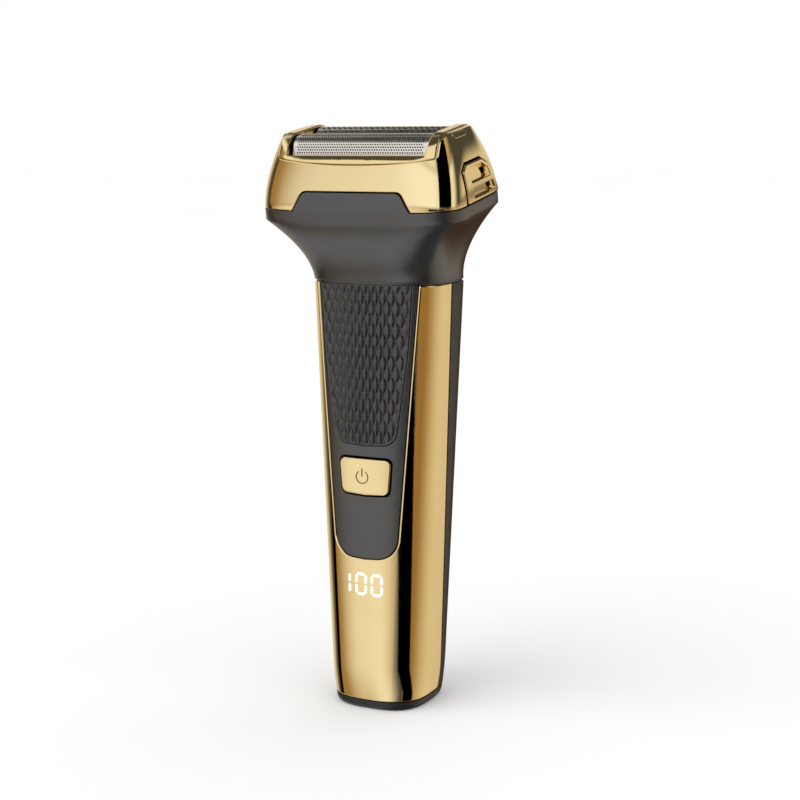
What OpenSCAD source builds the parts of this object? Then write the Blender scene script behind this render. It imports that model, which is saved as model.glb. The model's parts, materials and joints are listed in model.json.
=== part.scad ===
// Cordless foil shaver: handle with motor and battery, lift-off shaving head and foil cassette.
// Millimetres, +Z up, origin at the centre of the base's flat face, -Y towards the user.

/* [Handle] */
// Height of the waist seam above the table
handle_h = 118.7; // [116:0.1:121]
// Half width at the base
base_half_w = 14; // [13.5:0.1:15]
// Half width at the waist seam
waist_half_w = 19.4; // [19:0.1:20.5]
// Half depth at the base
base_half_d = 15; // [14.6:0.1:15.6]
// Half depth at the waist seam
waist_half_d = 15.5; // [15.2:0.1:16]
// Wall of the moulded shells
shell_wall = 1.7; // [1.4:0.1:1.8]
// Height of the grey base cap
cap_h = 2.6; // [2.4:0.1:3]
// Height over which the handle draws in towards its foot
foot_h = 12; // [8:1:16]
// How far it draws in at the very foot
foot_draw = 0.7; // [0.3:0.1:0.9]

/* [Control panel] */
// Lowest point of the grey panel
panel_z = 43; // [42:0.5:45]
// Lowest point of the grip pad
pad_z = 74.7; // [74.5:0.1:77]
// Centre height of the power button
button_z = 66.05; // [65.5:0.05:66.5]
// Height of the power button's face
button_h = 10.1; // [9:0.1:10.5]
// Centre height of the charge display
digits_z = 35.9; // [34:0.1:37]
// Height of the display's digits
digit_h = 6.3; // [5.5:0.1:7.5]

/* [Drive] */
// Throw of the crank pin
crank_throw = 1; // [0.6:0.1:1.1]
// Radius of the motor shaft
shaft_r = 1; // [0.8:0.05:1]
// Distance of the drive axis from the handle's middle
drive_y = -2.5; // [-2.8:0.1:-2]
// Diameter of the rechargeable cell
cell_d = 14; // [13.6:0.1:14.2]
// Length of the rechargeable cell
cell_l = 50; // [48:0.5:50]

/* [Head] */
// Forward lean of the head
head_lean = 9.5; // [8:0.5:11]
// Half width of the head at its widest
head_half_w = 29.3; // [29:0.1:30]
// Half depth of the head at its widest
head_half_d = 19; // [18.6:0.1:19.4]
// Height of the gold cassette above the grey rim
cassette_h = 18.85; // [18.6:0.05:19.1]
// Depth of the grey rim band
rim_h = 3.3; // [3:0.1:3.6]
// Height of the grey tab on the front
tab_h = 4.8; // [4:0.1:5.2]

/* [Foils and cutters] */
// Outer radius of a foil's arch
foil_r = 5; // [4.9:0.05:5]
// Thickness of a foil
foil_t = 0.15; // [0.1:0.01:0.2]
// Distance of each foil's axis from the head's middle
foil_y = 6; // [5.9:0.05:6.1]
// Height of the foil axes
foil_z = 13.3; // [13.1:0.1:13.4]
// Half length of a foil
foil_half_l = 19.8; // [19.6:0.1:20]
// Blades on each cutter
blade_count = 26; // [20:1:28]
// Sideways stroke of the cutters to each side
stroke = 1.2; // [0.8:0.1:1.2]

/* [Hidden] */
steps = 64;
far = 60;
gap = 0.3;
seam_gap = 0.15;
head_y = -4.9;
head_z = 141.1;
neck_z = handle_h + 0.3;
handle_top = handle_h - 0.2;
board_back = -7.4;
board_t = 1.2;
rail_in = 10.2;
rail_out = 11.4;
cell_z = 14;
cell_y = 2.2;
motor_z = 74;
motor_l = 27;
motor_r = 10;
motor_flat = 7.6;
motor_plate_z = 101.4;
plate_t = 1.6;
screw_r = 0.8;
screw_x = 12.4;
screw_y = 2;
top_plate_z = 114.5;
spigot_a = 9.8;
spigot_b = 9.2;
spigot_top = 123.5;
crank_z = 119.2;
pin_top = 131.5;
pin_r = 0.9;
fork_in = shaft_r + crank_throw + stroke + 0.1;
fork_out = fork_in + 1.3;
yoke_z = -6.3;
yoke_t = 2.6;
rod_r = 0.8;
rod_y = 6.5;
deck_z = -2.2;
deck_t = 1.6;
post_r = 1.2;
seat_z = 2;
carrier_z = 9.2;
carrier_t = 2;
blade_r = foil_r - foil_t - 0.3;
blade_in = 3.2;
blade_t = 0.4;
blade_half_l = 17.2;
well_x = 20.4;
well_y = foil_y + foil_r + 0.35;
band_x = 23.2;
lip_top = 13.9;
foil_skirt_z = 8.5;
window_depth = 1;

// ---------- shapes that the whole part shares ----------

function mix(a, b, t) = a + (b - a) * t;
function powered(v, e) = sign(v) * pow(abs(v), e);
function oval(a, b, n) = [for (i = [0:steps - 1]) let (t = 360 * i / steps)
    [a * powered(cos(t), 2 / n), b * powered(sin(t), 2 / n)]];
function level(outline, z) = [for (p = outline) [p[0], p[1], z]];
function leaned(outline, y, z, lean) = [for (p = outline) [p[0], y + p[1] * cos(lean), z + p[1] * sin(lean)]];

// Outline with the corner at each point rounded to the given radius
function arc(c, r, a, b, n) = [for (i = [0:n]) c + r * [cos(mix(a, b, i / n)), sin(mix(a, b, i / n))]];
function corner(p, q, s, r) = let (u = (p - q) / norm(p - q), v = (s - q) / norm(s - q),
    half = acos(u * v) / 2, m = (u + v) / norm(u + v), c = q + m * r / sin(half),
    start = q + u * r / tan(half) - c, stop = q + v * r / tan(half) - c,
    a = atan2(start[1], start[0]), turn = atan2(stop[1], stop[0]) - a,
    sweep = turn > 180 ? turn - 360 : turn < -180 ? turn + 360 : turn)
    arc(c, r, a, a + sweep, 6);
function rounded(pts, radii) = [for (i = [0:len(pts) - 1]) let (n = len(pts))
    each radii[i] == 0 ? [pts[i]] : corner(pts[(i + n - 1) % n], pts[i], pts[(i + 1) % n], radii[i])];
function both_sides(half) = concat(half, [for (i = [len(half) - 1:-1:0]) [-half[i][0], half[i][1]]]);

module loft(rings) {
    last = (len(rings) - 1) * steps;
    sides = [for (k = [0:len(rings) - 2], i = [0:steps - 1]) let (a = k * steps, j = (i + 1) % steps)
        each [[a + i, a + steps + i, a + j], [a + j, a + steps + i, a + steps + j]]];
    polyhedron([for (r = rings) each r],
        concat([[for (i = [0:steps - 1]) i]], sides, [[for (i = [steps - 1:-1:0]) last + i]]));
}

// A wall between two stacks of rings, open at both ends
module tube_loft(outer, inner) {
    rings = concat(outer, [for (k = [len(inner) - 1:-1:0]) inner[k]]);
    count = len(rings);
    faces = [for (k = [0:count - 1], i = [0:steps - 1])
        let (a = k * steps, b = ((k + 1) % count) * steps, j = (i + 1) % steps)
        each [[a + i, b + i, a + j], [a + j, b + i, b + j]]];
    polyhedron([for (r = rings) each r], faces);
}

// Extrusions of an outline drawn in front view (x, z) and in side view (y, z)
module front_prism(pts, y0, y1) {
    translate([0, y1, 0]) rotate([90, 0, 0]) linear_extrude(y1 - y0) polygon(pts);
}
module side_prism(pts, x0, x1) {
    translate([x0, 0, 0]) rotate([90, 0, 90]) linear_extrude(x1 - x0) polygon(pts);
}
module block(low, high) {
    translate(low) cube(high - low);
}
module rod_x(r, x0, x1, y, z) {
    translate([x0, y, z]) rotate([0, 90, 0]) cylinder(r = r, h = x1 - x0, $fn = 32);
}

// ---------- handle surface ----------

function foot_taper(z) = z < foot_h ? foot_draw * pow(1 - z / foot_h, 2) : 0;
function handle_ring(z, inset) = let (t = z / handle_h, d = inset + foot_taper(z))
    level(oval(mix(base_half_w, waist_half_w, t) - d, mix(base_half_d, waist_half_d, t) - d,
        mix(2.9, 3.3, t)), z);
function handle_levels(z0, z1) = concat([z0], [for (z = [5, 8, foot_h]) if (z > z0 && z < z1) z], [z1]);
function handle_rings(z0, z1, inset) = [for (z = handle_levels(z0, z1)) handle_ring(z, inset)];
function seam_y(z) = mix(4.2, -1, z / handle_h);

module handle_solid(inset, z0, z1) {
    loft(handle_rings(z0, z1, inset));
}
module handle_wall(outset, inset, z0, z1) {
    tube_loft(handle_rings(z0, z1, outset), handle_rings(z0, z1, inset));
}
module before_seam(shift) {
    side_prism([[-far, -5], [seam_y(-5) + shift, -5], [seam_y(150) + shift, 150], [-far, 150]], -far, far);
}

function panel_outline(grow) = rounded(both_sides([[0, panel_z - grow], [9.25 + grow, panel_z + 0.6 - grow],
    [15.3 + grow, handle_h + 0.1 + grow], [0, handle_h + 0.1 + grow]]), [0, 6.2, 0, 0, 0, 0, 6.2, 0]);
function pad_outline(grow) = rounded(both_sides([[0, pad_z - grow], [9 + grow, pad_z + 0.5 - grow],
    [12.4 + grow, 100], [13.6 + grow, handle_h + 0.1 + grow], [0, handle_h + 0.1 + grow]]),
    [0, 4.4, 40, 0, 0, 0, 0, 40, 4.4, 0]);
function button_outline(grow) = rounded(both_sides([[0, button_z - button_h / 2 - grow],
    [7.05 + grow, button_z - button_h / 2 + 0.4 - grow], [7.9 + grow, button_z + button_h / 2 + grow],
    [0, button_z + button_h / 2 + grow]]), [0, 1.8, 1.8, 0, 0, 1.8, 1.8, 0]);

// ---------- charge display ----------

seg_w = 0.75;
digit_w = 3.6;
digit_gap = 0.3;
one_x = -4.9;
zero_x = [-1.35, 3.45];
// Each segment is a bar with pointed ends; the display reads 100
function bar(l, grow) = let (h = seg_w / 2 + grow, e = l / 2 + grow)
    [[-e, 0], [-e + h, h], [e - h, h], [e, 0], [e - h, -h], [-e + h, -h]];
module segment(x, z, upright, l, grow) {
    translate([x, z]) rotate(upright ? 90 : 0) polygon(bar(l, grow));
}
module zero_digit(x, grow) {
    half_w = digit_w / 2 - seg_w / 2;
    half_h = digit_h / 2 - seg_w / 2;
    for (side = [-1, 1]) {
        segment(x, digits_z + side * half_h, false, 2 * half_w - digit_gap, grow);
        segment(x + half_w * side, digits_z + half_h / 2, true, half_h - digit_gap, grow);
        segment(x + half_w * side, digits_z - half_h / 2, true, half_h - digit_gap, grow);
    }
}
module one_digit(x, grow) {
    half_h = digit_h / 2 - seg_w / 2;
    for (side = [-1, 1]) segment(x, digits_z + side * half_h / 2, true, half_h - digit_gap, grow);
}
module digits(grow) {
    one_digit(one_x, grow);
    for (x = zero_x) zero_digit(x, grow);
}
module digit_prisms(y0, y1, grow) {
    translate([0, y1, 0]) rotate([90, 0, 0]) linear_extrude(y1 - y0) digits(grow);
}

// ---------- handle parts ----------

module front_shell() {
    color("goldenrod") difference() {
        intersection() {
            handle_wall(0, shell_wall, cap_h, handle_top);
            before_seam(0);
        }
        front_prism(panel_outline(0), -20, -5);
        digit_prisms(-20, -8, 0.03);
    }
}

module rear_shell() {
    color("dimgray") difference() {
        handle_wall(0, shell_wall, cap_h, handle_top);
        before_seam(seam_gap);
    }
}

module control_panel() {
    back = shell_wall + 0.5;
    color("dimgray") difference() {
        union() {
            intersection() {
                handle_wall(0.15, shell_wall, panel_z - 2, handle_top);
                front_prism(panel_outline(-0.15), -20, -5);
            }
            intersection() {
                handle_wall(0.15, back, panel_z - 2, top_plate_z - 0.5);
                front_prism(panel_outline(-0.15), -20, -5);
            }
            intersection() {
                handle_wall(shell_wall + 0.05, back, panel_z - 2, top_plate_z - 0.5);
                front_prism(panel_outline(1.4), -20, -5);
            }
        }
        intersection() {
            handle_wall(-1, 1, pad_z - 2, handle_h + 1);
            front_prism(pad_outline(0.12), -20, -5);
        }
        front_prism(button_outline(0.25), -20, -5);
    }
}

module grip_pad() {
    color("black") intersection() {
        handle_wall(0.05, 0.96, pad_z - 2, handle_top);
        front_prism(pad_outline(0), -20, -5);
    }
}

module display_digits() {
    color("white") intersection() {
        handle_solid(0.02, 20, 50);
        digit_prisms(-20, -12.6, 0);
    }
}

module led_display() {
    color("gray") block([-7.2, -12.5, digits_z - 5], [7.2, board_back - board_t, digits_z + 5]);
}

module circuit_board() {
    color("darkgreen") block([-10.4, board_back - board_t, 9.4], [10.4, board_back, 72]);
}

module tact_switch() {
    front = board_back - board_t;
    color("silver") union() {
        block([-3, front - 1.6, button_z - 3], [3, front, button_z + 3]);
        translate([0, front - 1.5, button_z]) rotate([90, 0, 0]) cylinder(r = 1.5, h = 0.6, $fn = 32);
    }
}

module battery_cell() {
    color("steelblue") translate([0, cell_y, cell_z]) cylinder(r = cell_d / 2, h = cell_l, $fn = 64);
}

module battery_tabs() {
    color("silver") for (z = [cell_z - 0.3, cell_z + cell_l]) {
        translate([0, cell_y, z]) cylinder(r = 4, h = 0.3, $fn = 32);
    }
}

module plate(z, thick, half_w, y1) {
    block([-half_w, board_back, z], [half_w, y1, z + thick]);
}

module chassis() {
    color("darkslategray") difference() {
        union() {
            for (side = [-1, 1]) {
                block([side > 0 ? rail_in : -rail_out, board_back, 9.4],
                    [side > 0 ? rail_out : -rail_in, -4, motor_plate_z + plate_t]);
                translate([side * screw_x, screw_y, motor_plate_z])
                    cylinder(r = 2.2, h = top_plate_z - motor_plate_z, $fn = 32);
            }
            plate(9.4, plate_t, rail_out, 7.6);
            plate(12.1, plate_t, rail_out, 7.6);
            plate(cell_z + cell_l + 0.3, plate_t, rail_out, 7.6);
            for (z = [25, 50]) plate(z, plate_t, rail_out, cell_y);
            plate(motor_plate_z, plate_t, 14.6, 5);
        }
        translate([0, cell_y, cell_z]) cylinder(r = cell_d / 2 + 0.1, h = cell_l, $fn = 64);
        translate([0, drive_y, motor_plate_z - 1]) cylinder(r = 3.2, h = 4, $fn = 48);
        for (side = [-1, 1]) {
            translate([side * screw_x, screw_y, top_plate_z - 7]) cylinder(r = screw_r, h = 8, $fn = 24);
            translate([side * 6.5, drive_y, motor_plate_z - 1]) cylinder(r = screw_r + 0.1, h = 4, $fn = 24);
        }
    }
}

module motor_can() {
    color("silver") difference() {
        union() {
            intersection() {
                translate([0, drive_y, motor_z]) cylinder(r = motor_r, h = motor_l, $fn = 64);
                block([-motor_r, drive_y - motor_flat, motor_z], [motor_r, drive_y + motor_flat, 120]);
            }
            translate([0, drive_y, motor_z + motor_l - 1]) cylinder(r = 3, h = 2.6, $fn = 48);
        }
        translate([0, drive_y, motor_z + 15]) cylinder(r = shaft_r + 0.05, h = 20, $fn = 32);
    }
}

module motor_screws() {
    color("silver") for (side = [-1, 1]) translate([side * 6.5, drive_y, 0]) union() {
        translate([0, 0, motor_z + motor_l + 0.05]) cylinder(r = screw_r, h = 2.4, $fn = 24);
        translate([0, 0, motor_plate_z + plate_t]) cylinder(r = 1.4, h = 0.9, $fn = 24);
    }
}

// A slot outline with round ends
module stadium(w, h, z0, z1) {
    translate([0, 0, z0]) linear_extrude(z1 - z0) union() {
        square([w - h, h], center = true);
        for (side = [-1, 1]) translate([side * (w - h) / 2, 0]) circle(d = h, $fn = 32);
    }
}
socket_y = board_back + 1.8;
module charge_socket() {
    color("silver") translate([0, socket_y, 0]) union() {
        difference() {
            stadium(9.4, 3.6, 0.7, 8.6);
            stadium(8.4, 2.6, 0, 7);
        }
        block([-3.3, -0.35, 2], [3.3, 0.35, 7.5]);
    }
}

module base_cap() {
    lip_top_z = 6;
    color("dimgray") difference() {
        union() {
            loft([handle_ring(0, 1), handle_ring(0.3, 0.5), handle_ring(0.8, 0.15),
                handle_ring(1.5, 0), handle_ring(cap_h - 0.1, 0)]);
            handle_solid(shell_wall + 0.1, cap_h - 0.4, lip_top_z);
        }
        handle_solid(shell_wall + 1.3, cap_h, lip_top_z + 1);
        translate([0, socket_y, 0]) stadium(9.6, 3.8, -1, 4);
    }
}

module top_plate() {
    color("dimgray") difference() {
        union() {
            handle_solid(shell_wall + 0.1, top_plate_z, handle_h - 0.7);
            translate([0, 0, handle_h - 1]) linear_extrude(spigot_top - handle_h + 1)
                polygon(oval(spigot_a, spigot_b, 2.4));
        }
        translate([0, 0, handle_h - 0.7]) linear_extrude(10)
            polygon(oval(spigot_a - 1.6, spigot_b - 1.6, 2.4));
        translate([0, drive_y, top_plate_z - 1]) cylinder(r = 4, h = 10, $fn = 48);
        for (side = [-1, 1]) translate([side * screw_x, screw_y, 0]) {
            translate([0, 0, top_plate_z - 1]) cylinder(r = screw_r + 0.1, h = 6, $fn = 24);
            translate([0, 0, handle_h - 2.3]) cylinder(r = 1.7, h = 3, $fn = 32);
        }
    }
}

module top_plate_screws() {
    color("silver") for (side = [-1, 1]) translate([side * screw_x, screw_y, 0]) union() {
        translate([0, 0, top_plate_z - 6.5]) cylinder(r = screw_r, h = 9, $fn = 24);
        translate([0, 0, handle_h - 2.3]) cylinder(r = 1.6, h = 1.2, $fn = 32);
    }
}

module shaft_seal() {
    color("black") translate([0, drive_y, top_plate_z + 0.4]) difference() {
        cylinder(r = 4, h = 2, $fn = 48);
        translate([0, 0, -1]) cylinder(r = shaft_r + 0.08, h = 4, $fn = 32);
    }
}

module motor_shaft() {
    low = motor_z + 16;
    color("silver") translate([0, drive_y, low]) cylinder(r = shaft_r, h = crank_z - low, $fn = 32);
}

module crank_disc() {
    color("white") translate([0, drive_y, crank_z]) cylinder(r = 3, h = 2.2, $fn = 48);
}

module crank_pin() {
    color("silver") translate([crank_throw, drive_y, crank_z + 2.2])
        cylinder(r = pin_r, h = pin_top - crank_z - 2.2, $fn = 32);
}

module power_button() {
    flange = shell_wall + 0.5 + gap;
    color("goldenrod") union() {
        intersection() {
            handle_wall(-0.25, flange + 0.7, button_z - 9, button_z + 9);
            front_prism(button_outline(0), -20, -5);
        }
        intersection() {
            handle_wall(flange, flange + 0.7, button_z - 9, button_z + 9);
            front_prism(button_outline(1), -20, -5);
        }
    }
}

// ---------- head, drawn in its own leaning frame ----------

module in_head() {
    translate([0, head_y, head_z]) rotate([head_lean, 0, 0]) children();
}

function head_ring(z, inset) = let (t = max(z, 0) / 20.7)
    level(oval(head_half_w - 5.4 * pow(t, 1.94) - inset, head_half_d - 7.6 * pow(t, 1.41) - inset,
        5.5 - 1.5 * t), z);
function head_rings(z0, z1, count, inset) =
    [for (i = [0:count]) head_ring(mix(z0, z1, i / count), inset)];

// The neck blends the waist's level outline into the rim's wide, leaning one; its front runs on
// into the rim band without a crease
function neck_front(u) = mix(-waist_half_d, rim_y() - head_half_d, 0.6 * u * u * (3 - 2 * u) + 0.4 * u);
function neck_back(u) = mix(waist_half_d, head_half_d, pow(u, 1.8)) + rim_y() * pow(u, 0.75);
function neck_ring(u, inset) = leaned(oval(mix(waist_half_w, head_half_w, pow(u, 2)) - inset,
    (neck_back(u) - neck_front(u)) / 2 - inset, mix(3.3, 5.5, pow(u, 1.4))),
    (neck_front(u) + neck_back(u)) / 2, mix(neck_z, rim_z(), u), head_lean * pow(u, 1.8));
function rim_y() = head_y + rim_h * sin(head_lean);
function rim_z() = head_z - rim_h * cos(head_lean);
function rim_top_ring(inset) = leaned(oval(head_half_w - inset, head_half_d - inset, 5.5),
    head_y + 0.15 * sin(head_lean), head_z - 0.15 * cos(head_lean), head_lean);
neck_wall = 1.8;
neck_levels = 10;
function neck_rings(inset) = concat([for (i = [0:neck_levels]) neck_ring(i / neck_levels, inset)],
    [rim_top_ring(inset)]);

function tab_outline(grow) = rounded(both_sides([[0, -1.5], [17.9 + grow, -1.5], [17.1 + grow, 0.3],
    [14.2 + grow, tab_h + grow], [0, tab_h + grow]]), [0, 0, 0.8, 2.2, 0, 0, 2.2, 0.8, 0, 0]);

module head_neck() {
    color("dimgray") union() {
        tube_loft(neck_rings(0), neck_rings(neck_wall));
        in_head() intersection() {
            tube_loft(head_rings(-0.15, tab_h + 1, 3, 0), head_rings(-0.15, tab_h + 1, 3, neck_wall));
            front_prism(tab_outline(0), -25, -5);
        }
    }
}

pillar_x = 13;
pillar_y = 7.5;
module socket_plate() {
    plate_z = neck_z + 0.4;
    color("darkslategray") difference() {
        union() {
            loft([neck_ring(0.02, neck_wall + 0.15), neck_ring(0.12, neck_wall + 0.15)]);
            intersection() {
                in_head() for (sx = [-1, 1], sy = [-1, 1]) translate([sx * pillar_x, sy * pillar_y, -24])
                    cylinder(r = 2, h = 24 + deck_z, $fn = 32);
                block([-far, -far, plate_z + 0.5], [far, far, 160]);
            }
        }
        translate([0, 0, plate_z - 1]) linear_extrude(4)
            polygon(oval(spigot_a + 0.35, spigot_b + 0.35, 2.4));
        in_head() for (sx = [-1, 1], sy = [-1, 1]) translate([sx * pillar_x, sy * pillar_y, deck_z - 6])
            cylinder(r = screw_r, h = 7, $fn = 24);
    }
}

module head_deck() {
    slot_x = post_r + stroke + 0.4;
    color("darkslategray") in_head() difference() {
        union() {
            translate([0, 0, deck_z]) linear_extrude(deck_t)
                polygon(oval(head_half_w - neck_wall - 0.2, head_half_d - neck_wall - 0.2, 5.5));
            for (sx = [-1, 1], sy = [-1, 1])
                block([sx > 0 ? 9.2 : -10.8, sy * rod_y - 1.5, yoke_z - 0.4],
                    [sx > 0 ? 10.8 : -9.2, sy * rod_y + 1.5, deck_z + 0.1]);
        }
        for (sy = [-1, 1]) {
            block([-slot_x, sy * foil_y - 1.8, deck_z - 1], [slot_x, sy * foil_y + 1.8, deck_z + 3]);
            rod_x(rod_r, -15, 15, sy * rod_y, yoke_z + yoke_t / 2);
            for (sx = [-1, 1]) translate([sx * pillar_x, sy * pillar_y, deck_z - 1])
                cylinder(r = screw_r + 0.1, h = 4, $fn = 24);
        }
    }
}

module deck_screws() {
    color("silver") in_head() for (sx = [-1, 1], sy = [-1, 1]) translate([sx * pillar_x, sy * pillar_y, 0])
        union() {
            translate([0, 0, deck_z - 5.5]) cylinder(r = screw_r, h = 7.4, $fn = 24);
            translate([0, 0, deck_z + deck_t]) cylinder(r = 1.6, h = 0.9, $fn = 32);
        }
}

module guide_rods() {
    color("silver") in_head() for (sy = [-1, 1]) rod_x(rod_r, -10.8, 10.8, sy * rod_y, yoke_z + yoke_t / 2);
}

module oscillator_yoke() {
    plate_top = yoke_z + yoke_t;
    color("white") in_head() difference() {
        union() {
            block([-7, -8.2, yoke_z], [7, 8.2, plate_top]);
            for (sx = [-1, 1]) block([sx > 0 ? fork_in : -fork_out, -3.5, yoke_z - 7.7],
                [sx > 0 ? fork_out : -fork_in, 3.5, yoke_z + 0.1]);
            for (sy = [-1, 1]) translate([0, sy * foil_y, 0]) {
                translate([0, 0, plate_top - 0.1]) cylinder(r = post_r, h = 11.6 - plate_top, $fn = 32);
                translate([0, 0, seat_z]) cylinder(r = 2.2, h = 0.8, $fn = 32);
            }
        }
        for (sy = [-1, 1]) rod_x(rod_r + 0.08, -10, 10, sy * rod_y, yoke_z + yoke_t / 2);
    }
}

// A coil spring as one swept wire
module coil(r, wire, turns, z0, z1) {
    per_turn = 14;
    sides = 6;
    count = turns * per_turn;
    pts = [for (k = [0:count]) let (a = 360 * k / per_turn, z = mix(z0 + wire, z1 - wire, k / count))
        for (s = [0:sides - 1]) let (b = 360 * s / sides, q = r + wire * cos(b))
        [q * cos(a), q * sin(a), z + wire * sin(b)]];
    skin = [for (k = [0:count - 1], s = [0:sides - 1]) let (a = k * sides, b = a + sides, t = (s + 1) % sides)
        each [[a + s, a + t, b + s], [a + t, b + t, b + s]]];
    ends = [[for (s = [sides - 1:-1:0]) s], [for (s = [0:sides - 1]) count * sides + s]];
    polyhedron(pts, concat(ends, skin));
}
module cutter_spring(side) {
    color("silver") in_head() translate([0, side * foil_y, 0])
        coil(1.7, 0.2, 5, seat_z + 0.85, carrier_z - 0.05);
}
module front_spring() { cutter_spring(-1); }
module rear_spring() { cutter_spring(1); }

module cutter_carrier(side) {
    half_d = blade_r - 0.15;
    color("white") in_head() translate([0, side * foil_y, 0]) difference() {
        union() {
            block([-blade_half_l, -half_d, carrier_z], [blade_half_l, half_d, carrier_z + carrier_t]);
            translate([0, 0, carrier_z]) cylinder(r = 2.4, h = 4.2, $fn = 32);
        }
        translate([0, 0, carrier_z - 1]) cylinder(r = post_r + 0.08, h = 4.8, $fn = 32);
    }
}
module front_cutter_carrier() { cutter_carrier(-1); }
module rear_cutter_carrier() { cutter_carrier(1); }

module blade_outline() {
    intersection() {
        difference() {
            union() {
                circle(r = blade_r, $fn = 48);
                translate([-blade_r, -5]) square([2 * blade_r, 5]);
            }
            circle(r = blade_in, $fn = 48);
            translate([-blade_in, -6]) square([2 * blade_in, 6]);
        }
        translate([-10, carrier_z + carrier_t - foil_z]) square([20, 20]);
    }
}
module cutter_blades(side) {
    pitch = (2 * blade_half_l - blade_t) / (blade_count - 1);
    color("silver") in_head() translate([-blade_half_l, side * foil_y, foil_z]) for (i = [0:blade_count - 1])
        translate([i * pitch, 0, 0]) rotate([90, 0, 90]) linear_extrude(blade_t) blade_outline();
}
module front_cutter_blades() { cutter_blades(-1); }
module rear_cutter_blades() { cutter_blades(1); }

// ---------- foil cassette ----------

// Side view of the cassette's ends: two quarter rounds joined by a flat top
arch_y = 5.6;
arch_r = 9.15;
lip_z = 12.3;
function arch_outline(low, inset) = let (top = cassette_h - inset, r = arch_r - inset, c = top - r)
    concat([[far, low], [far, lip_z], [arch_y + arch_r + 0.6, lip_z], [arch_y + arch_r, lip_z + 0.9]],
        arc([arch_y, c], r, 26, 90, 8), arc([-arch_y, c], r, 90, 154, 8),
        [[-arch_y - arch_r, lip_z + 0.9], [-arch_y - arch_r - 0.6, lip_z], [-far, lip_z], [-far, low]]);
// Front view of what lies above the lip's gently sagging lower edge
function above_lip(half_w, drop) = let (n = 12) concat([for (i = [0:n]) let (x = mix(-half_w, half_w, i / n))
    [x, 11.75 + 1.15 * pow(x / 21.3, 2) - drop]], [[half_w, 25], [-half_w, 25]]);

function release_outline(grow) = [[-8.2 - grow, 0.2 - grow], [-8.2 - grow, 8.6 + grow * 0.4],
    [-5.9 - grow * 0.4, 10.2 + grow], [3.9 + grow * 0.4, 10.2 + grow], [7.8 + grow * 0.7, 8.2 + grow * 0.7],
    [10.2 + grow, 5.2 + grow * 0.4], [13 + grow, 0.2 - grow]];

upper_window = [[-4.9, 5.2], [-4.9, 8.3], [-4, 9.1], [3.9, 9.1], [6.6, 7.7], [8, 5.2]];
lower_window = [[-4.3, 1.1], [-4.3, 3.8], [8.9, 3.8], [10.2, 1.1]];

module release_hole(side) {
    low = side > 0 ? 20 : -35;
    side_prism(release_outline(0.3), low, low + 15);
    block([low, -8.5, -2], [low + 15, 13.3, 0.5]);
}

module head_shroud() {
    wall = 1.4;
    color("goldenrod") in_head() difference() {
        intersection() {
            tube_loft(head_rings(0, cassette_h + 0.5, 6, 0), head_rings(0, cassette_h + 0.5, 6, wall));
            side_prism(arch_outline(-3, 0.35), -far, far);
        }
        front_prism(above_lip(band_x + 0.1, 0.1), -25, 25);
        front_prism(tab_outline(gap), -25, -5);
        for (side = [-1, 1]) release_hole(side);
    }
}

module foil_frame() {
    color("goldenrod") in_head() difference() {
        union() {
            intersection() {
                loft(head_rings(11, cassette_h + 0.5, 5, -0.2));
                side_prism(arch_outline(0, 0), -band_x, band_x);
                front_prism(above_lip(band_x, 0), -25, 25);
            }
            intersection() {
                loft(head_rings(7.5, 12.5, 2, 1.6));
                block([-22.2, -12.9, 7.5], [22.2, 12.9, 12.5]);
            }
        }
        block([-well_x, -well_y, 5], [well_x, well_y, 30]);
        block([-well_x, -25, lip_top], [well_x, 25, 30]);
    }
}

module centre_bar() {
    color("silver") in_head() block([-well_x + 0.02, -0.5, 7.5], [well_x - 0.02, 0.5, 14.6]);
}

module foil_section(r) {
    circle(r = r, $fn = 64);
    translate([-r, foil_skirt_z - foil_z]) square([2 * r, foil_z - foil_skirt_z]);
}
module upper_part() {
    translate([-10, foil_skirt_z - foil_z]) square([20, 20]);
}
module along_foil(side, x0, x1) {
    in_head() translate([x0, side * foil_y, foil_z]) rotate([90, 0, 90]) linear_extrude(x1 - x0) children();
}
module foil(side) {
    color("silver") along_foil(side, -foil_half_l, foil_half_l) intersection() {
        difference() {
            foil_section(foil_r);
            foil_section(foil_r - foil_t);
            translate([-foil_r + foil_t, -20]) square([2 * (foil_r - foil_t), 20]);
        }
        upper_part();
    }
}
module foil_saddles(side) {
    color("dimgray") for (x = [-foil_half_l, foil_half_l - 1.2]) along_foil(side, x, x + 1.2) intersection() {
        foil_section(foil_r - foil_t - 0.01);
        upper_part();
    }
}
module front_foil() { foil(-1); }
module rear_foil() { foil(1); }
module front_foil_saddles() { foil_saddles(-1); }
module rear_foil_saddles() { foil_saddles(1); }

module release(side) {
    low = side > 0 ? 20 : -35;
    color("goldenrod") in_head() difference() {
        union() {
            intersection() {
                tube_loft(head_rings(0.2, 12, 2, -0.3), head_rings(0.2, 12, 2, 2.4));
                side_prism(release_outline(0), low, low + 15);
            }
            intersection() {
                tube_loft(head_rings(1.2, 12, 2, 1.7), head_rings(1.2, 12, 2, 2.4));
                side_prism(release_outline(0.9), low, low + 15);
            }
        }
        intersection() {
            tube_loft(head_rings(0.2, 12, 2, -1), head_rings(0.2, 12, 2, window_depth));
            union() {
                side_prism(upper_window, low, low + 15);
                side_prism(lower_window, low, low + 15);
            }
        }
    }
}
module release_left() { release(-1); }
module release_right() { release(1); }

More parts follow.
